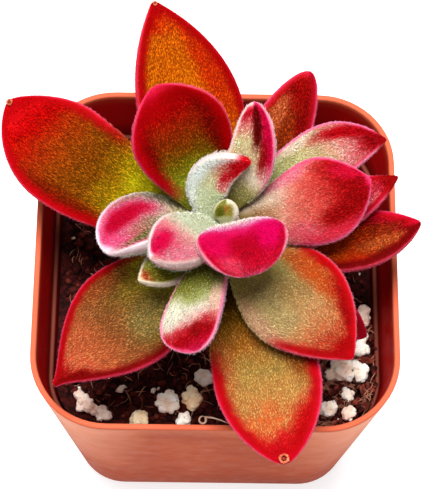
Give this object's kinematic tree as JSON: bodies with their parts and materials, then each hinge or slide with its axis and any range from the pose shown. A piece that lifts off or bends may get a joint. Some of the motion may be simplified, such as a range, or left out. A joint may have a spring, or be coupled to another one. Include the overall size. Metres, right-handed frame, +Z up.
{
  "type": "potted echeveria",
  "caption": "Rosette of thick velvety red-margined leaves on a short stem, rooted in dark peat mix with white perlite in a square thin-walled terracotta-coloured plastic pot.",
  "frame": {"origin": "centre of the pot's flat base", "axes": "+Z up along the pot's height, -Y towards the front wall that the picture shows, +X to the right"},
  "size_m": [0.0717, 0.0763, 0.092],
  "materials": {
    "pot": "moulded terracotta-coloured plastic, satin and slightly mottled",
    "soil": "damp dark peat mix, matt and fibrous",
    "stem": "soft green-brown stem with fine hairs",
    "leaf_old": "fleshy leaf with short velvety hairs, olive to orange with a crimson margin",
    "leaf_young": "fleshy young leaf with dense pale hairs, mint to pink with a magenta end",
    "perlite": "porous expanded mineral grain, matt white"
  },
  "bodies": {
    "root": {"pot": "pot", "soil": "soil", "stem": "stem", "leaf_bud": "leaf_young", "leaf_centre_pale": "leaf_young", "leaf_centre_pink": "leaf_young", "leaf_upright_back": "leaf_young", "leaf_centre_left": "leaf_young", "leaf_right_coral": "leaf_young", "leaf_back_spoon": "leaf_old", "leaf_front_young": "leaf_young", "leaf_left_pink": "leaf_young", "leaf_left_green": "leaf_young", "leaf_right_upper": "leaf_young", "leaf_right_sage": "leaf_old", "leaf_left_large": "leaf_old", "leaf_back_tall": "leaf_old", "leaf_back_right": "leaf_old", "leaf_right_small": "leaf_old", "leaf_right_low": "leaf_old", "leaf_front_large": "leaf_old", "leaf_left_low": "leaf_old", "leaf_right_hidden": "leaf_old", "perlite_twin_left": "perlite", "perlite_twin_right": "perlite", "perlite_front_round": "perlite", "perlite_cluster_left": "perlite", "perlite_cluster_right": "perlite", "perlite_cluster_front": "perlite", "perlite_under_leaf": "perlite", "perlite_right_back": "perlite", "perlite_right_middle": "perlite", "perlite_right_pair": "perlite", "perlite_right_pair_end": "perlite", "perlite_right_small": "perlite", "perlite_right_front": "perlite", "perlite_right_corner": "perlite"}
  },
  "joints": []
}
